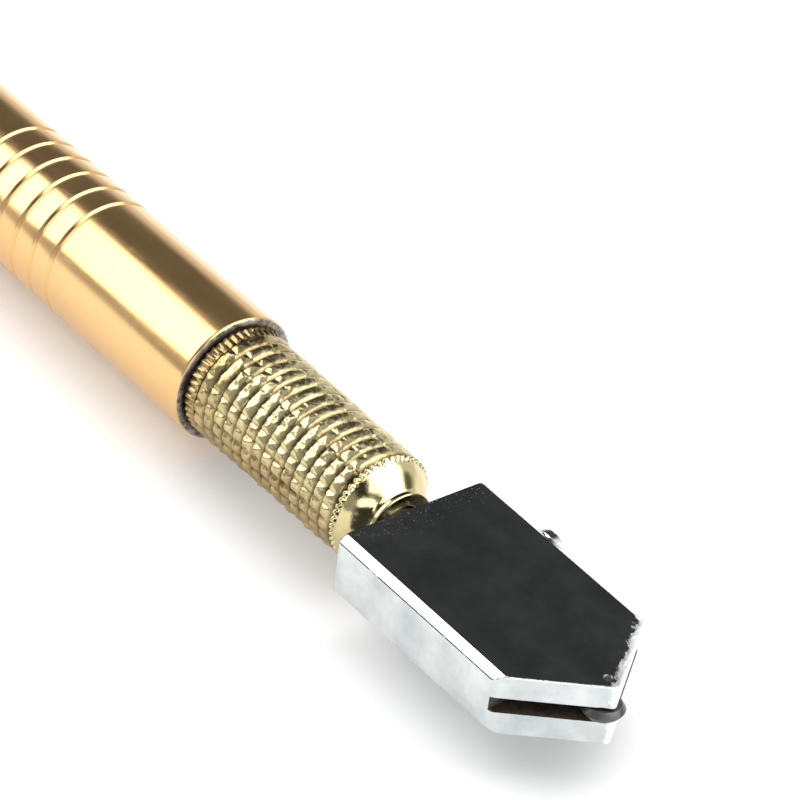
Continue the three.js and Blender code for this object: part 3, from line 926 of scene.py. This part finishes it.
def front_wear(place):
    """How far knocks have rounded the edges by the point, in millimetres."""
    ripple = 0.6 + 0.9 * noise.noise((place.x * 0.5, place.y * 0.6, 4.2))
    ripple += 0.12 * noise.noise((place.x, place.y, 1.1))
    if place.x < HEAD_SHOULDER - 0.4:
        return 0.0
    across = place.y / HEAD_HALF_WIDTH
    if across > 0:
        reach = min(1.0, 0.6 + across * 3) * min(1.0, max(0.0, 0.98 - across) * 4)
    else:
        reach = 0.6 * max(0.0, 1 + across * 6)
    return 0.5 * reach * max(0.1, ripple)


def make_head():
    """The head: rings from its top flat, round by the slot, to its bottom flat, and then drilled."""
    half = HEAD_HALF_THICKNESS
    wall = HEAD_HALF_WIDTH - CHAMFER_ACROSS
    middle = Vector((HEAD_TIP - 8, 0))
    rings = []

    def section(y):
        """The height of the flat and its long chamfers above the middle plane."""
        return half - CHAMFER_DOWN * min(1.0, max(0.0, (abs(y) - wall) / CHAMFER_ACROSS))

    def edge_ring(side, other, drop, worn_share, top):
        places = []
        for place in head_loop((side, other, other, side, other)):
            wear = front_wear(place) if top > 0 else 0.0
            inward = (middle - place).normalized() * wear * worn_share
            height = section(place.y) - drop - 0.4 * wear * max(0.0, 1 - worn_share)
            places.append((place.x + inward.x, place.y + inward.y, top * height))
        return places

    def level(insets, z, front=None):
        return [(min(p.x, front) if front else p.x, p.y, z) for p in head_loop(insets)]

    # side inset, other inset, drop and share of the wear, from the flat out to the wall
    edge = (
        (CHAMFER_ACROSS + 0.2, 0.25, 0.0, 1.25),
        (CHAMFER_ACROSS, 0.10, 0.0, 1.0),
        (CHAMFER_ACROSS - 0.06, 0.045, 0.012, 0.6),
        (0.05, 0.015, 0.05, 0.25),
        (0.012, 0.003, 0.08, 0.08),
        (0.0, 0.0, 0.13, 0.0),
    )
    for side, other, drop, worn_share in edge:
        rings.append(edge_ring(side, other, drop, worn_share, 1))
    # down the front to the slot, in along its upper wall, and out along its lower one
    lips = (0, 0.05, 0.05, 0, 0)
    for top in (1, -1):
        steps = [
            level((0,) * 5, top * (SLOT_HALF + 0.06)),
            level(lips, top * SLOT_HALF),
            level(lips, top * SLOT_HALF, SLOT_REAR),
        ]
        rings.extend(steps if top > 0 else steps[::-1])
    for side, other, drop, worn_share in edge[::-1]:
        rings.append(edge_ring(side, other, drop, worn_share, -1))

    count = len(rings[0])
    points = [p for ring_points in rings for p in ring_points]
    faces = [list(range(count)), [len(points) - 1 - i for i in range(count)]]
    for row in range(len(rings) - 1):
        for i in range(count):
            j = (i + 1) % count
            base = row * count
            faces.append([base + j, base + i, base + count + i, base + count + j])
    points, faces = merged(points, faces)

    def finish_of(face):
        offset = (face.center - TOOL_ORIGIN) / MM
        if abs(offset.z) < SLOT_HALF + 0.001 and offset.x > SLOT_REAR - 0.01:
            return 1
        if offset.x > HEAD_SHOULDER and offset.z > half - 0.5 and face.normal.z < 0.997:
            return 2
        if offset.x < HEAD_LOW.x + 0.01:
            return 3
        below_chamfer = abs(offset.z - half + CHAMFER_DOWN + 0.07) < 0.07
        return 3 if below_chamfer and abs(offset.y) > HEAD_HALF_WIDTH - 0.06 else 0

    piece = new_piece(
        "head_body_block",
        points,
        faces,
        "head",
        [HEAD_CHROME, SLOT_STAIN, KNOCKED_CHROME, EDGE_GRIME],
        "head_body",
        face_material=finish_of,
    )

    socket = revolve(
        [
            (HEAD_LOW.x - 1, 0),
            (HEAD_LOW.x - 1, STEM_RADIUS + 1.35),
            (HEAD_LOW.x + 0.25, STEM_RADIUS + 0.1),
            (SOCKET_FRONT, STEM_RADIUS + 0.1),
            (SOCKET_FRONT + 1, 0.6),
            (SLOT_REAR + 0.5, 0.6),
            (SLOT_REAR + 0.5, 0),
        ],
        64,
    )
    hole_radius = SCREW_SHANK + 0.05
    hole_points, hole_faces = revolve([(0, 0), (0, hole_radius), (12, hole_radius), (12, 0)], 48)
    screw_hole = (turned_to("y", hole_points, (SCREW_X, 0, 0)), hole_faces)
    pin_drill = [(-4, 0), (-4, AXLE_HOLE_RADIUS), (4, AXLE_HOLE_RADIUS), (4, 0)]
    pin_points, pin_faces = revolve(pin_drill, 32)
    pin_hole = (turned_to("z", pin_points, (WHEEL_X, 0, 0)), pin_faces)
    cut_from(piece, socket, screw_hole, pin_hole)


def make_lock_screw():
    """The lock screw: a fine thread under a round head with a slot across it."""
    seat = HEAD_HALF_WIDTH + 0.05
    top = SCREW_HIGH.y
    rim = seat + 0.7
    point_y = 1.15
    dome = 12
    outline = [
        (point_y, 0, 0),
        (point_y, SCREW_POINT, 0.1),
        (point_y + 0.7, SCREW_POINT, 0.05),
        (point_y + 0.7, SCREW_SHANK, 0.1),
    ]
    steps = 60
    for i in range(1, steps):
        outline.append((point_y + 0.8 + (seat - point_y - 1.2) * i / steps, SCREW_SHANK, 0))
    outline.append((seat, SCREW_SHANK, 0))
    outline.append((seat, SCREW_HEAD_RADIUS, 0.12))
    for i in range(dome + 1):
        angle = math.pi / 2 * i / dome
        radius = 0 if i == dome else SCREW_HEAD_RADIUS * math.cos(angle)
        outline.append((rim + (top - rim) * math.sin(angle), radius, 0))

    def screw_thread(y, radius, angle):
        if abs(radius - SCREW_SHANK) > 0.001 or not point_y + 0.9 < y < seat - 0.4:
            return radius
        turn = (y / SCREW_PITCH - angle / (2 * math.pi)) % 1
        return SCREW_SHANK - 0.18 * abs(2 * turn - 1)

    points, faces = revolve(rounded(outline, 0.1), 96, screw_thread)
    piece = new_piece(
        "lock_screw_slotted",
        turned_to("y", points, (SCREW_X, 0, 0)),
        faces,
        "locking_screw",
        [SCREW_CHROME],
        "lock_screw",
    )
    slot = box_body((SCREW_X - 0.25, top - 0.55, -3), (SCREW_X + 0.25, top + 1, 3))
    cut_from(piece, slot)


def make_axle():
    """The wheel's pin, through the head and across its slot."""
    outline = [(-AXLE_END, 0), (-AXLE_END, AXLE_RADIUS), (AXLE_END, AXLE_RADIUS), (AXLE_END, 0)]
    points, faces = revolve(rounded(outline, 0.02), 64)
    moved = turned_to("z", points, (WHEEL_X, 0, 0))
    new_piece("wheel_axle_pin", moved, faces, "head", [STEEL], "wheel_axle")


def make_wheel():
    """The cutting wheel: a bored disc, bevelled to an edge."""
    half = WHEEL_HIGH.z
    radius = WHEEL_HIGH.x - WHEEL_X
    bore = AXLE_RADIUS + 0.05
    shoulder = radius - WHEEL_BEVEL
    outline = [
        (-half, bore, 0.06),
        (-half, shoulder, 0.08),
        (0, radius, 0.02),
        (half, shoulder, 0.08),
        (half, bore, 0.06),
        (-half, bore, 0.06),
    ]
    points, faces = revolve(rounded(outline, 0.05), 160)
    moved = turned_to("z", points, (WHEEL_X, 0, 0))
    new_piece("cutting_wheel_disc", moved, faces, "wheel", [CARBIDE], "cutting_wheel")


make_handle()
make_cap_seal()
make_cap()
make_nose()
make_guide_bush()
make_stem()
make_head()
make_lock_screw()
make_axle()
make_wheel()

# the pieces sealed inside keep their CAD shapes
HIDDEN = {
    "nose_seal": RUBBER,
    "stem_seal": RUBBER,
    "valve_seal": RUBBER,
    "spring_retainer": BRASS,
    "return_spring": SPRING,
    "oil_wick": COTTON,
}
for node, material in HIDDEN.items():
    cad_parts[node].data.materials.clear()
    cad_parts[node].data.materials.append(material)

# ---------------------------------------------------------------- floor, light and camera

FLOOR_HALF = 6.0  # metres
FLOOR_WHITE = 0.9


def make_floor():
    mesh = bpy.data.meshes.new("floor")
    corners = [(x * FLOOR_HALF, y * FLOOR_HALF, 0) for x, y in ((-1, -1), (1, -1), (1, 1), (-1, 1))]
    mesh.from_pydata(corners, [], [(0, 1, 2, 3)])
    floor = bpy.data.objects.new("floor", mesh)
    bpy.context.scene.collection.objects.link(floor)
    material = bpy.data.materials.new("floor_white")
    material.use_nodes = True
    shader = material.node_tree.nodes["Principled BSDF"]
    shader.inputs["Base Color"].default_value = (FLOOR_WHITE, FLOOR_WHITE, FLOOR_WHITE, 1)
    shader.inputs["Roughness"].default_value = 0.9
    mesh.materials.append(material)


def add_softbox(name, direction, across, width, length, brightness, reflected=True):
    """A soft box a metre from the tool, its width laid along the across direction.

    The camera doesn't see it. It is either seen in reflections or lights the dull surfaces."""
    light = bpy.data.lights.new(name, "AREA")
    light.shape = "RECTANGLE"
    light.size = width
    light.size_y = length
    light.energy = brightness * math.pi * width * length
    lamp = bpy.data.objects.new(name, light)
    bpy.context.scene.collection.objects.link(lamp)
    way = Vector(direction).normalized()
    side = (Vector(across) - way * way.dot(Vector(across))).normalized()
    lamp.location = at(0, 0, 0) + way
    lamp.rotation_mode = "QUATERNION"
    lamp.rotation_quaternion = Matrix((side, way.cross(side), way)).transposed().to_quaternion()
    lamp.visible_camera = False
    lamp.visible_glossy = reflected
    lamp.visible_diffuse = not reflected


def make_world():
    """Even pale light with three dark patches for polished faces to reflect."""
    world = bpy.data.worlds.new("studio")
    world.use_nodes = True
    tree = world.node_tree
    background = tree.nodes["Background"]
    background.inputs["Color"].default_value = (1, 1, 1, 1)
    place = tree.nodes.new("ShaderNodeTexCoord")

    def brightness_by(direction, from_low, from_high, to_low, to_high):
        towards = tree.nodes.new("ShaderNodeVectorMath")
        towards.operation = "DOT_PRODUCT"
        towards.inputs[1].default_value = Vector(direction).normalized()
        tree.links.new(place.outputs["Generated"], towards.inputs[0])
        shade = tree.nodes.new("ShaderNodeMapRange")
        shade.interpolation_type = "SMOOTHSTEP"
        shade.inputs["From Min"].default_value = from_low
        shade.inputs["From Max"].default_value = from_high
        shade.inputs["To Min"].default_value = to_low
        shade.inputs["To Max"].default_value = to_high
        tree.links.new(towards.outputs["Value"], shade.inputs["Value"])
        return shade.outputs["Result"]

    def times(first, second):
        product = tree.nodes.new("ShaderNodeMath")
        product.operation = "MULTIPLY"
        tree.links.new(first, product.inputs[0])
        tree.links.new(second, product.inputs[1])
        return product.outputs["Value"]

    def patch(direction, core, edge, strength):
        """A dark round patch, given by the half-angles of its core and of its soft edge."""
        outer = math.cos(math.radians(edge))
        inner = math.cos(math.radians(core))
        return brightness_by(direction, outer, inner, 1.0, strength)

    sky = brightness_by((0, 1, 0), -0.2, 0.5, 0.47, 0.95)
    behind_tool = patch((-0.60, 0.45, 0.66), 20, 36, 0.06)
    beside_camera = patch((0.70, -0.33, 0.62), 21, 28, 0.08)
    beyond_softbox = patch((0.45, 0.85, 0.25), 8, 16, 0.15)
    dark = times(times(behind_tool, beside_camera), beyond_softbox)
    tree.links.new(times(sky, dark), background.inputs["Strength"])
    bpy.context.scene.world = world


# angles in degrees; the aim, the distance and the lens in millimetres
CAMERA_AZIMUTH = 47.32
CAMERA_ELEVATION = 35.86
CAMERA_ROLL = 8.35
CAMERA_DISTANCE = 419.9
CAMERA_AIM = (8.86, 10.36, 0.0)
CAMERA_LENS = 231.8


def make_camera():
    data = bpy.data.cameras.new("camera")
    data.lens = CAMERA_LENS
    data.clip_start = 0.01
    camera = bpy.data.objects.new("camera", data)
    bpy.context.scene.collection.objects.link(camera)
    azimuth = math.radians(CAMERA_AZIMUTH)
    elevation = math.radians(CAMERA_ELEVATION)
    level = math.cos(elevation)
    back = Vector((math.sin(azimuth) * level, -math.cos(azimuth) * level, math.sin(elevation)))
    camera.location = at(*CAMERA_AIM) + back * CAMERA_DISTANCE * MM
    roll = Matrix.Rotation(math.radians(CAMERA_ROLL), 3, "Z")
    turn = (-back).to_track_quat("-Z", "Y").to_matrix() @ roll
    camera.rotation_mode = "QUATERNION"
    camera.rotation_quaternion = turn.to_quaternion()
    bpy.context.scene.camera = camera


make_floor()
make_world()
make_camera()
add_softbox("tube_softbox", (-0.60, -0.47, 0.65), (0, -0.81, -0.59), 0.95, 0.6, 3.3)
add_softbox("top_softbox", (0.60, 0.30, 0.70), (0, 0.92, -0.39), 1.3, 0.9, 3.0)
add_softbox("low_softbox", (0.87, -0.45, 0.18), (0.46, 0.89, 0), 0.5, 0.5, 2.8)
add_softbox("floor_light", (-0.48, 0.38, 0.79), (0, 0.90, -0.43), 2.2, 2.2, 1.7, reflected=False)
add_softbox("floor_fill", (-0.30, -0.75, 0.59), (1, 0, 0), 1.6, 0.9, 1.9, reflected=False)
bpy.context.scene.view_settings.view_transform = "Standard"
